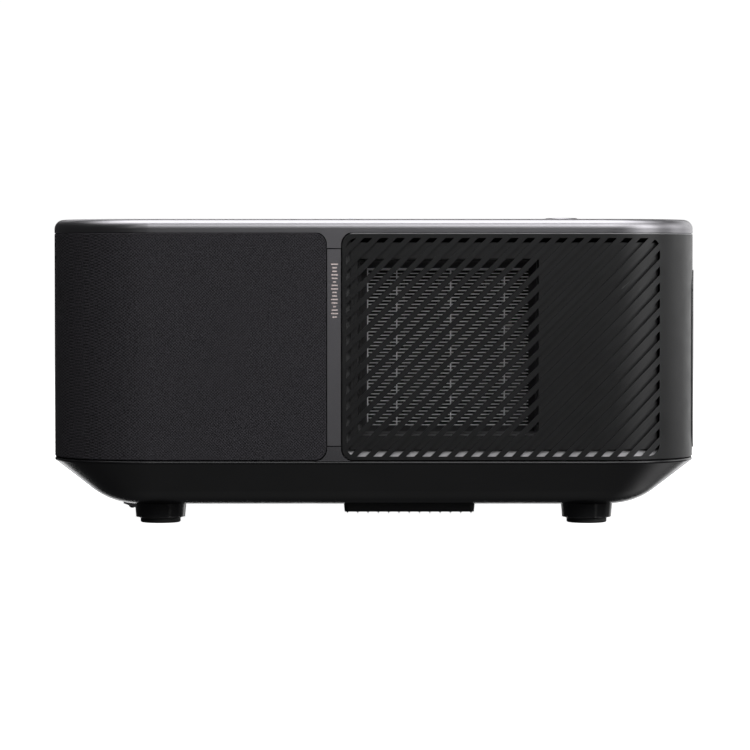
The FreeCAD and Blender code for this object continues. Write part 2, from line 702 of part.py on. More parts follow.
def foot(x, y):
    """A tapered foot with a step round its pad, hollowed for the pad and its screw's head."""
    rim, snug, seat = "foot_radius - 0.5", "pad_radius + 0.05", "foot_seat"
    profile = [("1.6", f"{seat} + 0.9"), ("3.3", f"{seat} + 0.9"), ("3.3", seat), ("pad_radius - 0.8", seat),
               ("pad_radius - 0.8", "pad_height + 1.1"), (snug, "pad_height + 1.1"), (snug, "pad_height - 0.5"),
               (f"{snug} + 0.5", "pad_height - 0.5"), (f"{snug} + 1.3", "pad_height"),
               (rim, "pad_height"), (rim, "pad_height + 0.4"), ("foot_radius", "sole_level"),
               ("1.6", "sole_level")]
    return turned(profile, (x, y, "0"), name="foot")


def foot_pad(x, y):
    profile = [("0", "0"), ("pad_radius", "0"), ("pad_radius", "pad_height + 1"), ("0", "pad_height + 1")]
    return turned(profile, (x, y, "0"), rounding=("0", "0.7"), name="foot_pad")


def feet():
    piece(group(*four(foot, "foot_x", "foot_y")), "feet")
    piece(group(*four(foot_pad, "foot_x", "foot_y")), "foot_pads")


def tilt_stand():
    """A folding plate on a pin, between the arms of a bracket under the front of the base."""
    wide = "2 * stand_reach"
    plate = slab("XY", "19", wide, "3", ("hinge_x + 12.3", "0", "hinge_z - 1.2"), "2")
    barrel = rod("1.75", ("hinge_x", "-stand_reach", "hinge_z"), wide, "y")
    web = block(("hinge_x", "-stand_reach", "hinge_z - 1.2"), ("hinge_x + 8", "stand_reach", "hinge_z + 0.8"))
    grip = rod("8", ("hinge_x + 26.5", "0", "0"), "20")
    bore = rod("pin_radius + running", ("hinge_x", "-50", "hinge_z"), "100", "y")
    piece(cut(fuse(plate, barrel, web), grip, bore), "tilt_stand")
    arms = [stand_arm(y) for y in ("-37", "40")]
    back = block(("hinge_x + 5.6", "-40", "hinge_z + 1.2"), ("hinge_x + 14.6", "40", "sole_level"))
    pin_hole = rod("pin_radius", ("hinge_x", "-50", "hinge_z"), "100", "y")
    piece(cut(fuse(*arms, back), pin_hole), "tilt_stand_bracket")
    piece(rod("pin_radius", ("hinge_x", "-40", "hinge_z"), "80", "y"), "tilt_stand_pin")


def stand_arm(y):
    """One arm of the stand's bracket: a flat plate with a pointed nose at the front."""
    body = doc.addObject("PartDesign::Body", "stand_arm")
    sketch = sketch_on(body, "XZ", ("0", "0", f"-({y})"))
    polygon(sketch, [("hinge_x - 3.6", "hinge_z + 0.4"), ("hinge_x + 1.2", "hinge_z - 1.3"),
                     ("hinge_x + 14.6", "hinge_z - 1.3"), ("hinge_x + 14.6", "sole_level"),
                     ("hinge_x - 3.6", "sole_level")])
    pad(body, sketch, "3")
    return body


def filter_parts():
    """The underside intake: a ribbed cover that pulls off downwards, with a foam pad in it."""
    low = "sole_level - 3.45"
    ribs = 13
    middle = ("filter_x", "filter_y", "sole_level - 0.05")
    cover = slab("XY", "filter_long", "filter_wide", "2", middle, "3.4", "-6", flip=True)
    rim = slab("XY", "45.6", "59.6", "2.8", ("filter_x", "filter_y", low), "5.4")
    pocket = slab("XY", "43.2", "57.2", "1.6", ("filter_x", "filter_y", f"{low} + 1.5"), "8")
    teeth, gaps = [], []
    for i in range(ribs):
        middle = f"filter_x + {i - (ribs - 1) / 2} * rib_pitch"
        foot_of_tooth = (middle, "filter_y", low)
        tooth = slab("XY", "1.5", "filter_wide - 4", "0.3", foot_of_tooth, "0.5", "-40", flip=True)
        teeth.append(tooth)
        if i < ribs - 1:
            gap = slab("XY", "1.25", "54", "0.6", (f"{middle} + rib_pitch / 2", "filter_y", "0"), "8")
            gaps.append(gap)
    piece(cut(fuse(cover, rim, *teeth), pocket, *gaps[1:-1]), "filter_cover")
    foam = slab("XY", "43", "57", "1.5", ("filter_x", "filter_y", f"{low} + 1.6"), "3.6")
    piece(foam, "filter_foam")


# ---------------------------------------------------------------- controls

def controls():
    """The power button with the board it presses, and the status light."""
    x, skirt, crown = "button_x", "top_level - 3.6", "top_level + button_rise"
    wide = "button_radius + 1.7"
    cap = turned([("0", f"{skirt} + 1.1"), (wide, f"{skirt} + 1.1"), (wide, skirt),
                  ("1.7", skirt), ("1.7", "lid_level - 4"), ("0", "lid_level - 4")], (x, "0", "0"))
    face = turned([("0", f"{skirt} + 0.6"), ("button_radius", f"{skirt} + 0.6"), ("button_radius", crown),
                   ("0", crown)], (x, "0", "0"), rounding=(crown, "0.8"))
    piece(fuse(cap, face), "power_button")
    low, high = "lid_level - 9", "lid_level - 7.4"
    board = block((f"{x} - 12", "-14", low), (f"{x} + 12", "14", high))
    well = rod("2", (x, "0", f"{high} + 1.4"), "5")
    switch = cut(block((f"{x} - 3", "-3", high), (f"{x} + 3", "3", f"{high} + 4")), well)
    piece(fuse(board, switch), "button_board")
    dome = "top_level + light_rise"
    piece(turned([("0", "lid_level - 5"), ("0.95", "lid_level - 5"), ("0.95", dome), ("0", dome)],
                 ("light_x", "light_y", "0"), rounding=(dome, "0.4")), "status_light")


# ---------------------------------------------------------------- front and optics

def fascia():
    front = "-body_length / 2 - proud"
    plate = slab("YZ", "fascia_wide", "fascia_tall", "12", ("0", "optic_z", front), "3")
    hood = rod("30", (front, "0", "optic_z"), "11", "x")
    throat = cone("27", "23", (front, "0", "optic_z"), "11", "x")
    window = slab("YZ", "11", "30", "5.4", ("-43", "optic_z", front), "30")
    receiver = rod("3.1", (front, "43", "optic_z"), "30", "x")
    piece(cut(fuse(plate, hood), throat, window, receiver), "front_fascia")
    glass = slab("YZ", "10.8", "29.8", "5.3", ("-43", "optic_z", f"{front} + 0.2"), "1.4")
    piece(group(glass, rod("3", (f"{front} + 0.2", "43", "optic_z"), "4", "x")), "sensor_windows")
    nose = "-body_length / 2"
    board = block((f"{nose} + 7", "-50", "optic_z - 16"), (f"{nose} + 8.6", "-36", "optic_z + 16"))
    eyes = [rod("3.4", (f"{nose} + 2.4", "-43", f"optic_z + {dz}"), "4.6", "x") for dz in (-8, 0, 8)]
    piece(fuse(board, *eyes), "sensor_board")


def lens():
    z = "optic_z"
    barrel = fuse(rod("27", ("-110", "0", z), "46", "x"), slab("YZ", "88", "60", "5", ("0", z, "-64"), "4"))
    bore = rod("cell_radius + running", ("-120", "0", z), "70", "x")
    slot = block(("-104.5", "15", f"{z} - 4.5"), ("-89.5", "60", f"{z} + 4.5"))
    piece(cut(barrel, bore, slot), "lens_barrel")
    lug = block(("-100", "22", f"{z} - 4"), ("-94", "screw_y + 4", f"{z} + 4"))
    cell = fuse(rod("cell_radius", ("-119", "0", z), "45", "x"), lug)
    front_seat = rod("21", ("-118", "0", z), "9", "x")
    mouth = rod("20", ("-120", "0", z), "60", "x")
    rear_seat = rod("21", ("-82", "0", z), "10", "x")
    nut = rod("shaft + running", ("-110", "screw_y", z), "30", "x")
    piece(cut(cell, front_seat, mouth, rear_seat, nut), "lens_cell")
    front = common(rod("20.9", ("-118", "0", z), "8.8", "x"), ball("40", ("-118 + 40", "0", z)))
    rear = common(rod("20.9", ("-82", "0", z), "7", "x"), ball("34", ("-75 - 34", "0", z)))
    piece(group(front, rear), "lens_glass")


def ball(radius, at):
    item = doc.addObject("Part::Sphere", "ball")
    bind(item, Radius=radius)
    return place(item, at)


def focus_drive():
    y, z = "screw_y", "optic_z"
    can = rod("6", ("-78", y, z), "12", "x")
    bracket = slab("YZ", "18", "16", "2", (f"{y} + 2.5", z, "-66"), "2")
    hole = rod("shaft + running", ("-79", y, z), "5", "x")
    piece(cut(fuse(can, bracket), hole), "focus_motor")
    piece(rod("shaft", ("-107", y, z), "32.5", "x"), "focus_screw")


def light_engine():
    """The sealed optical box behind the lens, its light source and its imaging chip."""
    low, high, z = "optic_z - 30", "optic_z + 30", "optic_z"
    outer = block(("-60", "-30", low), ("24", "34", high))
    inner = block(("-57", "-27", f"{low} + 3"), ("21", "31", f"{high} + 6"))
    lens_hole = rod("22", ("-70", "0", z), "20", "x")
    light_hole = block(("4", "-20", f"{low} - 4"), ("16", "-8", f"{low} + 6"))
    chip_hole = block(("-40", "25", f"{z} - 12"), ("-14", "40", f"{z} + 12"))
    piece(cut(outer, inner, lens_hole, light_hole, chip_hole), "engine_housing")
    piece(slab("XY", "84", "64", "2", ("-18", "2", high), "2.5"), "engine_lid")
    prism = doc.addObject("PartDesign::Body", "prism_body")
    sketch = sketch_on(prism, "XY", ("0", "0", f"{z} - 14"))
    polygon(sketch, [("-40", "24"), ("-14", "24"), ("-40", "-8")])
    pad(prism, sketch, "28")
    carrier = block(("-3", "-27", f"{low} - 3"), ("23", "-1", f"{low} - 1.4"))
    emitter = block(("6", "-18", f"{low} - 1.4"), ("14", "-10", f"{low} - 0.2"))
    piece(fuse(carrier, emitter), "light_source")
    condenser = common(rod("9", ("10", "-14", f"{low} + 3.5"), "10"), ball("14", ("10", "-14", low)))
    piece(group(prism, condenser), "engine_optics")
    board = block(("-50", "35.6", f"{z} - 22"), ("-4", "37.2", f"{z} + 24"))
    chip = block(("-38", "32", f"{z} - 10"), ("-16", "35.6", f"{z} + 10"))
    piece(fuse(board, chip), "imaging_board")
    sink_low, sink_high = f"{z} - 16", f"{z} + 18"
    fins = [block((f"{x}", "37.4", sink_low), (f"{x} + 1.2", "50", sink_high)) for x in range(-42, -10, 4)]
    plate = block(("-42", "37.4", sink_low), ("-12.8", "40", sink_high))
    piece(group(fuse(plate, *fins), board_heatsink()), "heatsinks")


# ---------------------------------------------------------------- cooling

STACK_FRONT = "-body_width / 2 + 12.6"


def fin_stack():
    """Level fins joined by upright tabs: an edge tab and three rows between them."""
    x_low, z_low = "stack_x - stack_wide / 2", "stack_z - stack_tall / 2"
    back = f"{STACK_FRONT} + stack_deep"
    solid = block((x_low, STACK_FRONT, z_low), ("stack_x + stack_wide / 2", back, "stack_z + stack_tall / 2"))
    tabs = (0, 12.1, 34.5, 56.8, 70)
    count = round(size("stack_tall") / size("fin_pitch")) - 1
    gaps = []
    for i in range(count):
        z = f"{z_low} + fin_thick + {i} * fin_pitch"
        for a, b in zip(tabs, tabs[1:]):
            low = (f"{x_low} + {a} + 0.5", f"{STACK_FRONT} - 1", z)
            gaps.append(block(low, (f"{x_low} + {b}", f"{back} + 1", f"{z} + fin_pitch - fin_thick")))
    holes = [rod("pipe_radius + 0.02", (x, "pipe_y", "20"), "100") for x in PIPES]
    piece(cut(cut(solid, group(*gaps)), *holes), "fin_stack")


PIPES = ("10", "30", "50")


def heat_pipe(x):
    """A pipe that runs along the cold plate, bends up and passes through the fins."""
    body = doc.addObject("PartDesign::Body", "heat_pipe")
    spine = sketch_on(body, "YZ", ("0", "0", x), "spine")
    start, end = ("-4", "cold_z"), ("pipe_y", "cold_z + pipe_rise")
    bend = size("pipe_bend")
    corner = Vector(size("pipe_y"), size("cold_z"))
    spine.addGeometry(Part.LineSegment(Vector(*map(size, start)), corner + Vector(bend, 0)), False)
    circle = Part.Circle(corner + Vector(bend, bend), Vector(0, 0, 1), bend)
    spine.addGeometry(Part.ArcOfCircle(circle, math.pi, 1.5 * math.pi), False)
    spine.addGeometry(Part.LineSegment(corner + Vector(0, bend), Vector(*map(size, end))), False)
    rule = Sketcher.Constraint
    spine.addConstraint([rule("Tangent", 0, 2, 1, 2), rule("Tangent", 1, 1, 2, 1),
                         rule("Horizontal", 0), rule("Vertical", 2)])
    constrain(spine, "Radius", 1, value="pipe_bend")
    for (line, point), (across, up) in (((0, 1), start), ((2, 2), end)):
        constrain(spine, "DistanceX", -1, 1, line, point, value=across)
        constrain(spine, "DistanceY", -1, 1, line, point, value=up)
    ring = sketch_on(body, "XZ", (x, "cold_z", "4"), "section")
    ring.addGeometry(Part.Circle(Vector(), Vector(0, 0, 1), size("pipe_radius")), False)
    ring.addConstraint(rule("Coincident", 0, 3, -1, 1))
    constrain(ring, "Radius", 0, value="pipe_radius")
    doc.recompute()
    pipe = body.newObject("PartDesign::AdditivePipe", "pipe")
    pipe.Profile = ring
    pipe.Spine = (spine, [])
    doc.recompute()
    return body


def cold_side():
    piece(group(*[heat_pipe(x) for x in PIPES]), "heat_pipes")
    plate = block(("-2", "-42", "cold_z - 3.5"), ("58", "0", "cold_z + 3.5"))
    pedestal = block(("-2", "-26", "cold_z + 3"), ("22", "-2", "optic_z - 33"))
    grooves = [rod("pipe_radius + 0.02", (x, "-50", "cold_z"), "46.1", "y") for x in PIPES]
    piece(cut(fuse(plate, pedestal), *grooves), "cold_plate")


def fan_frame(at, turn):
    """A square frame with a round bore, and four arms that carry the motor's seat."""
    arm_end = "fan_side / 2 - 0.5"
    square = slab("XY", "fan_side", "fan_side", "4", ("0", "0", "0"), "fan_thick")
    ring = cut(square, rod("fan_bore", ("0", "0", "-1"), "40"))
    arms = [slab("XY", f"2 * ({arm_end})", "3", "0.4", ("0", "0", "0"), "2") for _ in range(2)]
    for arm, angle in zip(arms, (45, 135)):
        arm.Placement = FreeCAD.Placement(Vector(), Rotation(Vector(0, 0, 1), angle))
    seat = rod("hub_radius", ("0", "0", "0"), "2")
    holes = [rod("2.1", (x, y, "-1"), "40") for x in ("-30.5", "30.5") for y in ("-30.5", "30.5")]
    frame = cut(fuse(ring, *arms, seat), rod("shaft + running", ("0", "0", "-1"), "10"), *holes)
    return place(frame, at, turn)


def fan_rotor(at, turn):
    blades = []
    for i in range(9):
        blade = doc.addObject("Part::Box", "blade")
        bind(blade, Length="blade_tip - 10", Width="17", Height="1.1")
        tilt = Rotation(Vector(0, 0, 1), 40 * i).multiply(Rotation(Vector(1, 0, 0), 34))
        offset = Rotation(Vector(0, 0, 1), 40 * i).multVec(Vector(10, -7, 3.2))
        blade.Placement = FreeCAD.Placement(offset, tilt)
        blades.append(blade)
    swept = rod("blade_tip", ("0", "0", "2.8"), "fan_thick - 3.6")
    sweep = cut(swept, rod("hub_radius - 1", ("0", "0", "0"), "20"))
    hub = rod("hub_radius", ("0", "0", "2.6"), "fan_thick - 3.2")
    axle = rod("shaft", ("0", "0", "0.2"), "6")
    rotor = fuse(common(fuse(*blades), sweep), hub, axle)
    return place(rotor, at, turn)


def fans():
    exhaust = ("stack_x", f"{STACK_FRONT} + stack_deep + 16", "fan_z")
    piece(fan_frame(exhaust, AGAINST_Y), "exhaust_fan_frame")
    piece(fan_rotor(exhaust, AGAINST_Y), "exhaust_fan_rotor")
    intake = ("stack_x", "body_width / 2 - 30", "fan_z")
    piece(fan_frame(intake, ALONG_Y), "intake_fan_frame")
    piece(fan_rotor(intake, ALONG_Y), "intake_fan_rotor")
    screen_y = "body_width / 2 - 13.6"
    holes = [slab("XZ", "4.4", "4.4", "1", (f"stack_x + {5.3 * i}", f"fan_z + {5.3 * j}", "-120"), "60")
             for i in range(-6, 7) for j in range(-6, 7)]
    screen = block(("stack_x - 35", screen_y, "fan_z - 35"),
                   ("stack_x + 35", f"{screen_y} + 0.8", "fan_z + 35"))
    dust_pad = block(("stack_x - 34", f"{screen_y} - 1.35", "fan_z - 34"),
                     ("stack_x + 34", screen_y, "fan_z + 34"))
    piece(group(cut(screen, group(*holes)), dust_pad), "intake_screen")


# ---------------------------------------------------------------- electronics

PORTS = {"hdmi": ("-32", "-11"), "usb": ("10", "29")}
PORT_MOUTH = "body_length / 2 - 1"
MAINS_Z = "port_z - 23.9"


def socket_shell(y, wide, tall, deep, metal, tongue):
    """A square metal socket with its contact tongue, on top of the main board."""
    low_z = "board_z + board_thick + 0.05"
    x = f"{PORT_MOUTH} - {deep}"
    outer = block((x, f"{y} - {wide} / 2", low_z), (PORT_MOUTH, f"{y} + {wide} / 2", f"{low_z} + {tall}"))
    inner = block((f"{x} + 1.5", f"{y} - {wide} / 2 + {metal}", f"{low_z} + {metal}"),
                  (f"{PORT_MOUTH} + 1", f"{y} + {wide} / 2 - {metal}", f"{low_z} + {tall} - {metal}"))
    blade = block((f"{x} + 1", f"{y} - {wide} / 2 + 1.8", f"{low_z} + {tall} / 2 - {tongue} / 2"),
                  (f"{PORT_MOUTH} - 1.5", f"{y} + {wide} / 2 - 1.8", f"{low_z} + {tall} / 2 + {tongue} / 2"))
    return fuse(cut(outer, inner), blade)


def ports():
    hdmi = [socket_shell(y, "15", "5.6", "12", "0.5", "1") for y in PORTS["hdmi"]]
    usb = [socket_shell(y, "13.2", "6", "14", "0.4", "1.8") for y in PORTS["usb"]]
    piece(group(*hdmi, *usb), "data_sockets")
    low = "board_z + board_thick + 0.05"
    jack = fuse(block((f"{PORT_MOUTH} - 14", "44", low), (f"{PORT_MOUTH} - 2", "52", f"{low} + 6")),
                rod("3", (f"{PORT_MOUTH} - 3", "48", f"{low} + 3"), "3", "x"))
    piece(cut(jack, rod("1.8", (f"{PORT_MOUTH} - 12", "48", f"{low} + 3"), "30", "x")), "audio_socket")
    inlet = slab("YZ", "22", "15", "2", ("-42", MAINS_Z, f"{PORT_MOUTH} - 16"), "16")
    recess = slab("YZ", "15.6", "8.8", "4.3", ("-42", MAINS_Z, f"{PORT_MOUTH} - 11"), "20")
    pins = [rod("1.2", (f"{PORT_MOUTH} - 13", y, MAINS_Z), "11", "x") for y in ("-46.3", "-37.7")]
    piece(fuse(cut(inlet, recess), *pins), "power_inlet")


def port_panel():
    """The panel that stands a little proud of the rear wall and follows its curve."""
    plate = common(wall("-proud", "2", "port_z - port_tall", "port_z + port_tall"), port_shape("0"))
    low = "board_z + board_thick + 0.05"
    cuts = [slab("YZ", "15.6", "6.2", "1", (y, f"{low} + 2.8", "0"), FAR) for y in PORTS["hdmi"]]
    cuts += [slab("YZ", "13.8", "6.6", "0.8", (y, f"{low} + 3", "0"), FAR) for y in PORTS["usb"]]
    cuts.append(rod("3.2", ("0", "48", f"{low} + 3"), FAR, "x"))
    cuts.append(slab("YZ", "22.4", "15.4", "2.2", ("-42", MAINS_Z, "0"), FAR))
    for i in range(14):
        cuts.append(slab("YZ", "2.4", "22", "1.1", (f"-20 + {5.4 * i}", "port_z - 15.9", "0"), FAR))
    piece(cut(plate, *cuts), "port_panel")


def board_heatsink():
    """The finned heatsink on the main board's processor."""
    low = "board_z + board_thick"
    base = block(("68", "-6", low), ("100", "26", f"{low} + 4"))
    fins = [block(("68", f"{3.4 * i - 6}", low), ("100", f"{3.4 * i - 4.8}", f"{low} + 14"))
            for i in range(10)]
    return fuse(base, *fins)


def boards():
    low, high = "board_z", "board_z + board_thick"
    board = block(("32", "-50", low), ("125", "58", high))
    parts = [block(("44", "8", high), ("58", "22", f"{high} + 1.4")),
             block(("66", "-34", high), ("76", "-24", f"{high} + 1.2")),
             block(("44", "34", high), ("54", "50", f"{high} + 1.2")),
             block(("36", "-44", high), ("42", "-20", f"{high} + 6"))]
    caps = [rod("2.5", (x, y, high), "6") for x in ("96", "104") for y in ("-44", "40")]
    piece(fuse(board, *parts, *caps), "main_board")
    top = "power_z + board_thick"
    power = block(("62", "-50", "power_z"), ("106", "50", top))
    coil = block(("70", "-4", top), ("94", "20", f"{top} + 22"))
    sink = block(("100", "-8", top), ("103", "44", f"{top} + 26"))
    cans = [rod("8", (x, y, top), "24") for x, y in (("76", "34"), ("76", "-24"))]
    piece(fuse(power, coil, sink, *cans), "power_board")
    low = "sole_level + 7.2"
    spots = [("66", "-46"), ("66", "46"), ("102", "-46"), ("102", "46")]
    posts = [rod("2.5", (x, y, low), f"power_z - ({low})") for x, y in spots]
    spots = [("57", "-47"), ("57", "54"), ("110", "-47"), ("110", "54")]
    tall = [rod("2.5", (x, y, low), f"board_z - ({low})") for x, y in spots]
    piece(group(*posts, *tall), "standoffs")


# ---------------------------------------------------------------- speakers

def speaker_box(sign):
    low = ("speaker_x - 34", "58", "speaker_z - 40")
    high = ("speaker_x + 38", "speaker_face", "speaker_z + 38")
    if sign:
        low, high = (low[0], f"-({high[1]})", low[2]), (high[0], "-58", high[2])
    inner_low = [f"{a} + 2.4" for a in low]
    inner_high = [f"{b} - 2.4" for b in high]
    hole = rod("24.2", ("speaker_x", f"{sign}speaker_face - 5", "speaker_z"), "10", "y")
    return cut(block(low, high), block(inner_low, inner_high), hole)


# (radius, height) outlines of a driver's parts; it faces along its height axis
DRIVER = {
    "frame": [("22", "2"), ("26.5", "2"), ("26.5", "0"), ("24", "0"), ("20", "-14"),
              ("8", "-14"), ("8", "-12.6"), ("19", "-12.6"), ("22.6", "0")],
    "magnet": [("0", "-26"), ("17", "-26"), ("17", "-14"), ("8", "-14"), ("8", "-24"),
               ("6", "-24"), ("6", "-13"), ("0", "-13")],
    "cone": [("6.6", "-18"), ("7.2", "-18"), ("7.2", "-8.4"), ("17.5", "0.6"), ("17.5", "1.2"), ("16.9", "1.2"),
             ("7", "-7.6"), ("5", "-5.6"), ("0", "-4.6"), ("0", "-5.4"), ("4.6", "-6.4"), ("6.6", "-8.4")],
    "surround": [("17.7", "0.6"), ("18.4", "2"), ("19.8", "2.6"), ("21.2", "2"), ("21.8", "0.6"),
                 ("21.3", "0.6"), ("20.8", "1.6"), ("19.8", "2.1"), ("18.8", "1.6"), ("18.2", "0.6")],
}


def driver_part(name, sign):
    centre = ("speaker_x", f"{sign}speaker_face", "speaker_z")
    return turned(DRIVER[name], centre, AGAINST_Y if sign else ALONG_Y)


def speakers():
    """Two sealed boxes, each with a driver that faces sideways through the cloth."""
    piece(group(speaker_box("-"), speaker_box("")), "speaker_boxes")
    for name in ("frame", "magnet", "surround"):
        piece(group(driver_part(name, "-"), driver_part(name, "")), f"speaker_{name}s")
    piece(driver_part("cone", "-"), "speaker_cone_left")
    piece(driver_part("cone", ""), "speaker_cone_right")


# ---------------------------------------------------------------- build and write

def build():
    base_pan()
    lid()
    accent_strips()
    cloth_wrap()
    rear_wrap()
    baffle()
    ducts()
    chassis()
    chassis_plate()
    fasteners()
    feet()
    tilt_stand()
    filter_parts()
    controls()
    fascia()
    lens()
    focus_drive()
    light_engine()
    fin_stack()
    cold_side()
    fans()
    ports()
    port_panel()
    boards()
    speakers()


def write():
    doc.recompute()
    failed = [o.Label for o in doc.Objects if {"Invalid", "Error"} & set(o.State)]
    if failed:
        raise SystemExit(f"failed objects: {failed}")
    os.makedirs("parts", exist_ok=True)
    for old in os.listdir("parts"):
        os.remove(os.path.join("parts", old))
    for item in pieces:
        shape = item.Shape
        if shape.isNull() or not shape.isValid() or not shape.Solids:
            raise SystemExit(f"bad shape: {item.Label}")
        shape.exportStep(f"parts/{item.Label}.step")
        print(f"{item.Label:24s} solids {len(shape.Solids):3d}  volume {shape.Volume / 1000:9.2f} cm3")
    print(len(pieces), "sub-parts")


build()
write()
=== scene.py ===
import math

import bmesh
import bpy
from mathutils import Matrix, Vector

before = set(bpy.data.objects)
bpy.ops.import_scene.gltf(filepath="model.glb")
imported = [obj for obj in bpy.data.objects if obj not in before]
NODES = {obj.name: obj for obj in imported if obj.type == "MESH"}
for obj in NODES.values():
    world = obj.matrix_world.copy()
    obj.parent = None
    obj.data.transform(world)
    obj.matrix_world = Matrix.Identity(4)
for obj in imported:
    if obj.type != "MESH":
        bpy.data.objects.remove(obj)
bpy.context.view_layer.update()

MM = 0.001

# Camera
LENS, SENSOR = 169.5, 36
EYE = (0.0006, -1.566, 0.1077)
TIP = 1.735  # degrees below level

# Backdrop, in metres
FLOOR_REACH = 9
DOME_RADIUS = 12
MIDDLE = (0, -0.05, 0.07)  # where most of the lights aim

# Places on the casing where a material changes
BAND_LEVEL = 28 * MM  # top edge of the base
FIN_FRONT = -98.4 * MM  # the fins' front edges
FIN_EDGE = 0.3 * MM  # how far back the fins' bright edges reach; behind it the fins carry painted shade
EDGE_HIGHLIGHT_LOW = 121.8 * MM  # lower edge of the painted highlight along the grilles' top edge
CORNER_CENTRE = (93 * MM, 69 * MM)  # centre of the casing's rounded corners, in plan
RIM_TOP, RIM_REAR = 32.6 * MM, -9.6 * MM  # where the baffle's painted highlight (lower rim) and painted light (front rim) end
RIM_BLUR = 0.8 * MM
FUNNEL_TOP, FUNNEL_REAR = 43 * MM, 75 * MM  # where the funnel's lower slope, with its painted light, ends
BAFFLE_FACE = 109.0 * MM, 109.2 * MM  # the baffle's outermost face, from the middle of the casing

# Textures
THREAD = 1.25 * MM  # repeat of the cloth's weave
FLECK = 9000  # noise scale of the paints' fleck
SMUDGE = 60  # noise scale of the paints' change in gloss
USUAL_NOISE = (0.3, 0.7)  # the range that a noise mostly keeps to
LIKENESS = (0.8, 0.85)  # how well a surface has to follow the outline to count as part of it

GRAPHITE = (0.3, 0.293, 0.31)
BLACK_PAINT = (0.012, 0.012, 0.013)
BLACK_PLASTIC = (0.018, 0.018, 0.0185)
# painted light on the baffle's front rim and lower funnel slope
PAINTED_LIGHT_GREY = (0.09, 0.09, 0.092)
# painted highlight along the baffle's lower rim
PAINTED_HIGHLIGHT_RIM = (0.75, 0.74, 0.76)
# painted highlight (lighter, metallic) along the grilles' top edge
EDGE_HIGHLIGHT_PAINT = (0.4, 0.4, 0.41)
# fins: the aluminium's own bright colour, and painted shade for the fins behind their front edges
FIN_BRIGHT, FIN_PAINTED_SHADE = (0.9, 0.9, 0.92), (0.06, 0.06, 0.062)
THREAD_LOW, THREAD_HIGH = (0.0105, 0.01, 0.0115), (0.062, 0.059, 0.067)


# ---------------------------------------------------------------- camera, lights and floor

def look_at(thing, target):
    thing.rotation_mode = "QUATERNION"
    thing.rotation_quaternion = (Vector(target) - thing.location).to_track_quat("-Z", "Y")


def camera():
    """A long lens square to the side, a little below the lid and tipped down slightly."""
    data = bpy.data.cameras.new("camera")
    data.lens = LENS
    data.sensor_width = SENSOR
    data.clip_start, data.clip_end = 0.05, 50
    cam = bpy.data.objects.new("camera", data)
    bpy.context.collection.objects.link(cam)
    cam.location = EYE
    cam.rotation_euler = (math.radians(90 - TIP), 0, 0)
    bpy.context.scene.camera = cam


def softbox(name, place, aim, size, radiance, soft=0.5):
    """A rectangular light, aimed at a point.

    Its glow fades out over the share soft of its width at each edge.
    """
    data = bpy.data.lights.new(name, "AREA")
    data.shape = "RECTANGLE"
    data.size, data.size_y = size
    data.energy = radiance * math.pi * size[0] * size[1]
    data.use_nodes = True
    nodes, links = data.node_tree.nodes, data.node_tree.links
    across = nodes.new("ShaderNodeSeparateXYZ")
    links.new(nodes.new("ShaderNodeNewGeometry").outputs["Parametric"], across.inputs[0])
    fades = []
    for axis in (0, 1):
        for start, end in ((0, soft), (1, 1 - soft)):
            fade = nodes.new("ShaderNodeMapRange")
            fade.interpolation_type = "SMOOTHSTEP"
            fade.inputs["From Min"].default_value = start
            fade.inputs["From Max"].default_value = end
            links.new(across.outputs[axis], fade.inputs["Value"])
            fades.append(fade.outputs[0])
    glow = fades[0]
    for fade in fades[1:]:
        product = nodes.new("ShaderNodeMath")
        product.operation = "MULTIPLY"
        links.new(glow, product.inputs[0])
        links.new(fade, product.inputs[1])
        glow = product.outputs[0]
    links.new(glow, nodes["Emission"].inputs["Strength"])
    lamp = bpy.data.objects.new(name, data)
    bpy.context.collection.objects.link(lamp)
    lamp.location = place
    lamp.visible_camera = False
    look_at(lamp, aim)


def studio():
    """A broad box overhead, others in front, to the right and behind, and weak ones low down."""
    softbox("overhead", place=(0.02, -0.1, 1.2), aim=(0.02, -0.1, 0.1), size=(2.7, 1.5),
            radiance=5.2, soft=0.45)
    softbox("front_top", place=(0.35, -1.2, 0.95), aim=MIDDLE, size=(2.1, 1.2), radiance=4.6)
    softbox("front", place=(0.25, -1.9, 0.25), aim=MIDDLE, size=(1.2, 0.9), radiance=0.6)
    softbox("front_right", place=(1.4, -0.8, 0.65), aim=MIDDLE, size=(1.4, 1.9), radiance=5.0)
    softbox("side_right", place=(1.6, 0.4, 0.5), aim=MIDDLE, size=(1.4, 1.9), radiance=2.2)
    softbox("rim_right", place=(0.95, 1.15, 0.35), aim=(0.12, -0.05, 0.07), size=(1.5, 1.6),
            radiance=1.2, soft=0.3)
    softbox("strip_right", place=(0.75, -0.85, -0.05), aim=(0.09, -0.08, 0.01), size=(0.12, 0.5),
            radiance=3.0)
    softbox("back", place=(-0.3, 1.7, 1.1), aim=MIDDLE, size=(2.0, 1.0), radiance=2.0)
    softbox("card_low", place=(0.1, 1.3, -0.36), aim=(0, -0.08, 0.02), size=(2.4, 0.4),
            radiance=1.6, soft=0.2)
    softbox("card_right", place=(0.75, 0.85, -0.9), aim=(0.1, -0.05, 0.02), size=(0.8, 0.9),
            radiance=0.6)
    softbox("under", place=(0.0, 0.3, -1.1), aim=(0, 0, 0), size=(1.8, 1.4), radiance=0.1)
    world = bpy.data.worlds.new("studio")
    world.use_nodes = True
    background = world.node_tree.nodes["Background"]
    background.inputs["Color"].default_value = (0.95, 0.96, 1, 1)
    background.inputs["Strength"].default_value = 0.03
    bpy.context.scene.world = world


def plain(name, colour):
    """A pale, evenly lit surface."""
    material = bpy.data.materials.new(name)
    material.use_nodes = True
    shader = material.node_tree.nodes["Principled BSDF"]
    shader.inputs["Base Color"].default_value = (*colour, 1)
    shader.inputs["Roughness"].default_value = 0.9
    shader.inputs["Emission Color"].default_value = (1, 1, 1, 1)
    shader.inputs["Emission Strength"].default_value = 1.0
    return material


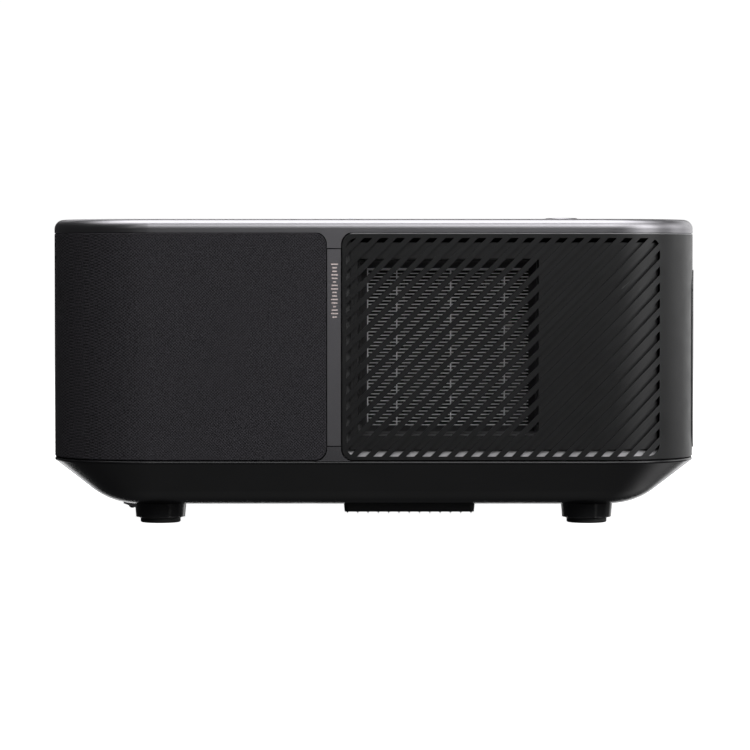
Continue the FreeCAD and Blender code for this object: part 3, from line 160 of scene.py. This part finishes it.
def backdrop(name, build, colour):
    """A pale surface that is only seen directly, so that it doesn't light the projector."""
    bm = bmesh.new()
    build(bm)
    mesh = bpy.data.meshes.new(name)
    bm.to_mesh(mesh)
    bm.free()
    item = bpy.data.objects.new(name, mesh)
    bpy.context.collection.objects.link(item)
    item.data.materials.append(plain(name + "_white", colour))
    item.visible_diffuse = False
    item.visible_glossy = False
    item.visible_shadow = False


def floor():
    def sheet(bm):
        signs = ((-1, -1), (1, -1), (1, 1), (-1, 1))
        bm.faces.new([bm.verts.new((x * FLOOR_REACH, y * FLOOR_REACH, 0)) for x, y in signs])

    def dome(bm):
        bmesh.ops.create_uvsphere(bm, u_segments=48, v_segments=24, radius=DOME_RADIUS)
        bmesh.ops.reverse_faces(bm, faces=bm.faces[:])

    backdrop("floor", sheet, (0.85, 0.85, 0.86))
    backdrop("backdrop", dome, (0.9, 0.9, 0.9))


# ---------------------------------------------------------------- materials

class Look:
    """A node material with a few shorthands. In a socket's name, _ stands for a space."""

    def __init__(self, name, colour, rough, metal=0.0, **sockets):
        self.material = bpy.data.materials.new(name)
        self.material.use_nodes = True
        self.tree = self.material.node_tree
        self.shader = self.tree.nodes["Principled BSDF"]
        self.coords = self.tree.nodes.new("ShaderNodeTexCoord").outputs["Object"]
        sockets.update(Base_Color=(*colour, 1), Roughness=rough, Metallic=metal)
        for socket_name, value in sockets.items():
            self.shader.inputs[socket_name.replace("_", " ")].default_value = value

    def feed(self, socket, value):
        if isinstance(value, bpy.types.NodeSocket):
            self.tree.links.new(value, socket)
        else:
            socket.default_value = value

    def link(self, output, socket_name):
        self.tree.links.new(output, self.shader.inputs[socket_name])

    def node(self, kind, **inputs):
        made = self.tree.nodes.new("ShaderNode" + kind)
        for name, value in inputs.items():
            self.feed(made.inputs[name.replace("_", " ")], value)
        return made

    def maths(self, operation, *values):
        made = self.node("Math")
        made.operation = operation
        for socket, value in zip(made.inputs, values):
            self.feed(socket, value)
        return made.outputs[0]

    def vector(self, operation, *values):
        made = self.node("VectorMath")
        made.operation = operation
        for socket, value in zip(made.inputs, values):
            self.feed(socket, value)
        return made.outputs["Value" if operation == "DOT_PRODUCT" else "Vector"]

    def place(self, axis):
        """How far along an axis of the object's frame a point is."""
        return self.node("SeparateXYZ", Vector=self.coords).outputs[axis]

    def past(self, value, start, end):
        """0 up to start and 1 from end on."""
        return self.node("MapRange", Value=value, From_Min=start, From_Max=end).outputs[0]

    def above(self, axis, place, blur=0.2 * MM):
        """0 below a place along an axis of the object's frame, and 1 above it."""
        return self.past(self.place(axis), place - blur, place + blur)

    def noise(self, scale, detail=2.0, rough=0.5, stretch=None):
        vector = self.coords
        if stretch:
            vector = self.node("Mapping", Vector=vector, Scale=stretch).outputs[0]
        made = self.node("TexNoise", Vector=vector, Scale=scale, Detail=detail, Roughness=rough)
        return made.outputs["Fac"]

    def ramp(self, factor, stops):
        made = self.node("ValToRGB", Fac=factor)
        for element, (place, colour) in zip(made.color_ramp.elements, stops):
            element.position = place
            element.color = (*colour, 1)
        return made.outputs["Color"]

    def blend(self, factor, low, high):
        """From one colour to another; either may be a tuple or another node's output."""
        made = self.node("Mix")
        made.data_type = "RGBA"
        self.feed(made.inputs["Factor"], factor)
        for socket, colour in ((made.inputs[6], low), (made.inputs[7], high)):
            self.feed(socket, (*colour, 1) if isinstance(colour, tuple) else colour)
        return made.outputs[2]

    def tint(self, factor, low, high):
        self.link(self.ramp(factor, list(zip(USUAL_NOISE, (low, high)))), "Base Color")

    def rough(self, factor, low, high):
        start, end = USUAL_NOISE
        made = self.node("MapRange", Value=factor, From_Min=start, From_Max=end,
                         To_Min=low, To_Max=high)
        self.link(made.outputs[0], "Roughness")

    def outline_normal(self):
        """The normal of the casing's rounded outline, wherever the surface follows it.

        The meshes' long thin triangles leave streaks at the corners without it.
        """
        surface = self.node("NewGeometry").outputs["Normal"]
        beyond = self.vector("SUBTRACT", self.vector("ABSOLUTE", self.coords), (*CORNER_CENTRE, 1))
        beyond = self.vector("MAXIMUM", beyond, (0, 0, 0))
        outward = self.vector("MULTIPLY", beyond, self.vector("SIGN", self.coords))
        outward = self.vector("NORMALIZE", outward)
        follows = self.past(self.vector("DOT_PRODUCT", outward, surface), *LIKENESS)
        made = self.node("Mix")
        made.data_type = "VECTOR"
        self.feed(made.inputs["Factor"], follows)
        self.feed(made.inputs[4], surface)
        self.feed(made.inputs[5], outward)
        return made.outputs[1]

    def bump(self, height, distance, strength=1.0, along=None):
        made = self.node("Bump", Height=height, Strength=strength, Distance=distance)
        if along:
            self.tree.links.new(along, made.inputs["Normal"])
        self.link(made.outputs["Normal"], "Normal")


def graphite():
    """Fine metallic paint with a faint fleck."""
    look = Look("graphite_paint", GRAPHITE, 0.33, 1.0)
    fleck = look.noise(FLECK, 1)
    look.tint(fleck, (0.27, 0.264, 0.28), (0.33, 0.322, 0.34))
    look.rough(look.noise(SMUDGE, 3), 0.32, 0.345)
    look.bump(fleck, 0.02 * MM, 0.5)
    return look.material


def base_paint():
    """Smooth black paint, darker than the lid's, with the lid's graphite on the pillars' feet."""
    look = Look("base_paint", BLACK_PAINT, 0.24)
    pillar = look.above("Z", BAND_LEVEL + 0.1 * MM)
    look.link(look.blend(pillar, BLACK_PAINT, GRAPHITE), "Base Color")
    look.link(pillar, "Metallic")
    look.rough(look.noise(SMUDGE, 3), 0.21, 0.27)
    look.bump(look.noise(FLECK, 1), 0.01 * MM, 0.4)
    return look.material


def baffle_plastic():
    """Black moulding with a painted highlight along its lower rim, and painted light (grey) on its
    front rim and lower funnel slope.
    """
    look = Look("baffle_plastic", BLACK_PLASTIC, 0.4)
    # Painted light: the front rim and the lower funnel slope turn grey, standing in for light that
    # falls there through the slots.
    outer = look.past(look.maths("ABSOLUTE", look.place("Y")), *BAFFLE_FACE)
    slope = look.maths("SUBTRACT", 1.0, outer)
    for past in (look.above("Z", FUNNEL_TOP), look.above("X", FUNNEL_REAR)):
        slope = look.maths("MULTIPLY", slope, look.maths("SUBTRACT", 1.0, past))
    colour = look.blend(slope, BLACK_PLASTIC, PAINTED_LIGHT_GREY)
    colour = look.blend(look.above("X", RIM_REAR), PAINTED_LIGHT_GREY, colour)
    # Painted highlight: a near-white band along the lower rim, standing in for the glint of light
    # from the upper right.
    over_rim = look.above("Z", RIM_TOP - RIM_BLUR, RIM_BLUR)
    look.link(look.blend(over_rim, PAINTED_HIGHLIGHT_RIM, colour), "Base Color")
    look.bump(look.noise(2500, 3), 0.03 * MM, 0.6, look.outline_normal())
    return look.material


def moulded(name, colour, rough, spread=0.08, wraps=False):
    """Moulded plastic with a fine spark-eroded grain.

    On the casing's wraps it has a lighter, metallic top edge, a painted highlight for the glint on
    the edge's rounding, and shades along the casing's outline.
    """
    look = Look(name, colour, rough)
    if wraps:
        # Painted highlight: a lighter, metallic band along the top edge, where the edge's rounding
        # catches the overhead light.
        highlight_band = look.above("Z", EDGE_HIGHLIGHT_LOW, 0.05 * MM)
        look.link(look.blend(highlight_band, colour, EDGE_HIGHLIGHT_PAINT), "Base Color")
        look.link(highlight_band, "Metallic")
    else:
        low, high = (tuple(c * share for c in colour) for share in (0.9, 1.1))
        look.tint(look.noise(35, 4), low, high)
    look.rough(look.noise(120, 2), rough - spread / 2, rough + spread / 2)
    look.bump(look.noise(2500, 3), 0.03 * MM, 0.6, look.outline_normal() if wraps else None)
    return look.material


def metal(name, colour, rough, stretch=(1, 1, 1)):
    """Bare metal with drawn or milled lines across the axis that stretch makes longest."""
    look = Look(name, colour, rough, 1.0)
    lines = look.noise(900, 4, 0.6, stretch)
    look.tint(lines, tuple(c * 0.82 for c in colour), colour)
    look.rough(lines, rough * 0.8, rough * 1.25)
    look.bump(lines, 0.01 * MM, 0.5)
    return look.material


def fin_aluminium():
    """Aluminium that is bright on the fins' cut front edges, with painted shade on the fins behind
    those edges, between them.
    """
    look = Look("fin_aluminium", FIN_BRIGHT, 0.5, 0.3)
    lines = look.noise(900, 4, 0.6, (1, 1, 20))
    # Painted shade: behind their front edges the fins are near black, as shade between them.
    inside = look.above("Y", FIN_FRONT + FIN_EDGE)
    look.link(look.blend(inside, FIN_BRIGHT, FIN_PAINTED_SHADE), "Base Color")
    look.rough(lines, 0.42, 0.6)
    look.bump(lines, 0.01 * MM, 0.5)
    return look.material


def speaker_cloth():
    """Close plain weave: crossed threads in a melange of charcoals."""
    look = Look("speaker_cloth", (0.02, 0.02, 0.022), 0.88, Specular_IOR_Level=0.2)
    round_casing = look.maths("ADD", look.place("X"), look.place("Y"))
    warp, weft = (look.maths("SINE", look.maths("MULTIPLY", run, 2 * math.pi / THREAD))
                  for run in (round_casing, look.place("Z")))
    crossed = look.maths("MULTIPLY", warp, weft)
    height = look.maths("MULTIPLY_ADD", crossed, 0.18, look.noise(2200, 3))
    look.tint(height, THREAD_LOW, THREAD_HIGH)
    look.bump(height, 0.2 * MM, 0.8)
    return look.material


def assign(material, *names):
    for name in names:
        item = NODES[name]
        item.data.materials.clear()
        item.data.materials.append(material)


def finish_nodes():
    # Outside
    assign(graphite(), "top_cover", "accent_strips", "power_button")
    assign(base_paint(), "base_pan")
    assign(moulded("grille_plastic", (0.0085, 0.0085, 0.009), 0.4, wraps=True),
           "grille_left", "grille_right", "rear_panel", "port_panel")
    assign(speaker_cloth(), "speaker_cloth")
    assign(moulded("fascia_plastic", (0.01, 0.01, 0.011), 0.12), "front_fascia", "sensor_windows")
    assign(moulded("mark_ink", (0.8, 0.68, 0.66), 0.4), "accent_marks")
    assign(moulded("light_pipe", (0.7, 0.72, 0.75), 0.3), "status_light")
    assign(moulded("foot_plastic", (0.02, 0.02, 0.021), 0.16), "feet")
    assign(moulded("pad_rubber", (0.02, 0.02, 0.02), 0.7), "foot_pads")
    assign(moulded("stand_paint", (0.03, 0.03, 0.03), 0.4), "tilt_stand")
    # Behind the grilles
    assign(baffle_plastic(), "grille_baffles")
    assign(fin_aluminium(), "fin_stack")
    # Painted shade: the heat pipes' metal is darkened so that they read black between the fins.
    assign(metal("nickel", (0.12, 0.12, 0.12), 0.3), "heat_pipes")
    # Inside
    assign(moulded("inner_plastic", (0.018, 0.018, 0.019), 0.5),
           "speaker_carrier", "air_ducts", "chassis_frame", "speaker_boxes", "speaker_frames",
           "exhaust_fan_frame", "exhaust_fan_rotor", "intake_fan_frame", "intake_fan_rotor",
           "engine_housing", "lens_barrel", "lens_cell", "audio_socket", "power_inlet",
           "filter_cover", "intake_screen", "speaker_surrounds", "speaker_cone_left",
           "speaker_cone_right", "filter_foam")
    assign(metal("aluminium", (0.8, 0.8, 0.82), 0.35, (1, 1, 20)),
           "engine_lid", "heatsinks", "cold_plate")
    assign(metal("steel", (0.5, 0.5, 0.51), 0.3),
           "screws", "chassis_plate", "tilt_stand_pin", "tilt_stand_bracket", "standoffs",
           "focus_screw", "speaker_magnets", "focus_motor", "data_sockets")
    assign(metal("brass", (0.78, 0.58, 0.3), 0.3), "tripod_insert")
    assign(moulded("board", (0.02, 0.12, 0.05), 0.4),
           "main_board", "power_board", "button_board", "sensor_board", "imaging_board",
           "light_source")
    glass = Look("coated_glass", (0.9, 0.92, 1.0), 0.03,
                 Transmission_Weight=1.0, IOR=1.5, Coat_Weight=0.5)
    assign(glass.material, "lens_glass", "engine_optics")


camera()
studio()
floor()
finish_nodes()

scene = bpy.context.scene
scene.view_settings.view_transform = "Standard"
scene.view_settings.look = "None"
